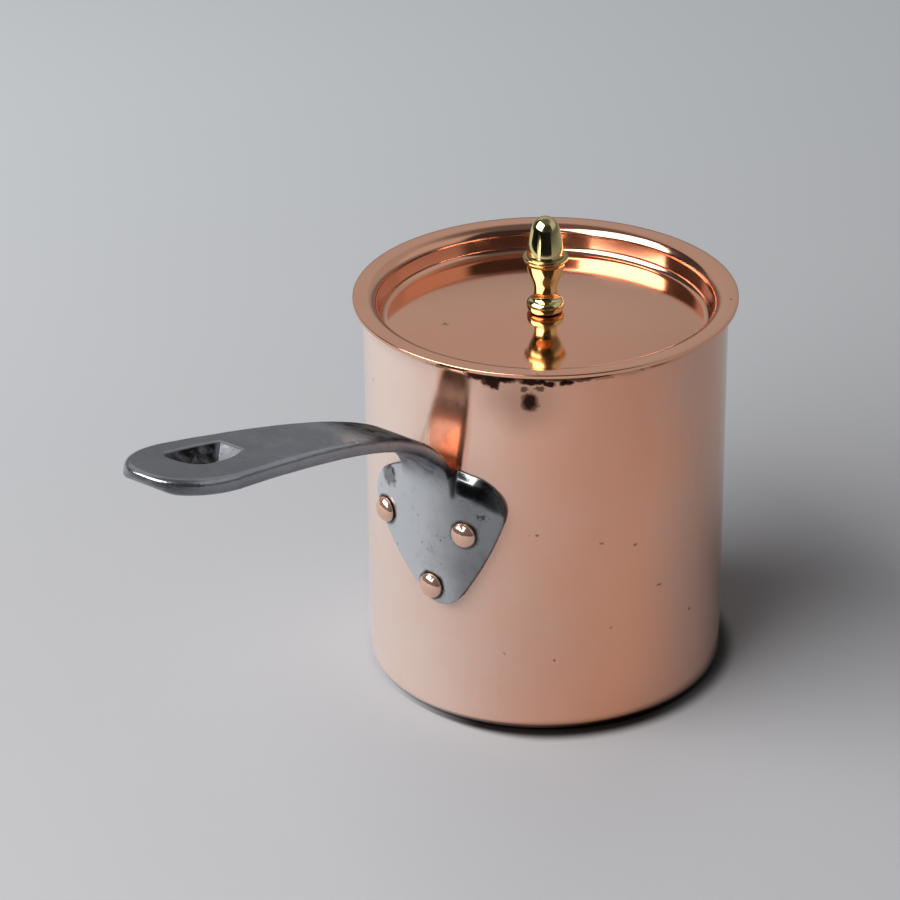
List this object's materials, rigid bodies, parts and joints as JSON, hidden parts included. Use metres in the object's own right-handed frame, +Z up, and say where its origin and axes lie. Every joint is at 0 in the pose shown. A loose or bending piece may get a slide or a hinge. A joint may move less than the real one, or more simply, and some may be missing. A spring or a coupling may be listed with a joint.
{
  "type": "lidded saucepan",
  "caption": "Small straight-sided copper saucepan with a riveted iron handle and a dished lid that lifts off by a turned brass knob.",
  "frame": {"origin": "centre of the pot's flat foot, on the pot's upright axis", "axes": "+Z up along the pot's axis; the handle points along -X, so X is the longest extent"},
  "size_m": [0.2526, 0.1254, 0.1573],
  "materials": {
    "copper": "polished copper with soft wear and small tarnish marks",
    "rivet_copper": "polished copper",
    "tin": "wiped tin, satin",
    "iron": "polished iron with fine casting pits",
    "brass": "polished brass"
  },
  "bodies": {
    "pan": {"pot_body": "copper", "pot_tin_lining": "tin", "handle": "iron", "rivet_upper_left": "rivet_copper", "rivet_upper_right": "rivet_copper", "rivet_lower": "rivet_copper"},
    "lid": {"lid": "copper", "lid_tin_lining": "tin", "lid_knob": "brass", "knob_washer": "brass"}
  },
  "joints": [
    {"name": "lid_lift", "type": "slide", "parent": "pan", "child": "lid", "axis": [0, 0, 1], "range_m": [0, 0.08]}
  ]
}
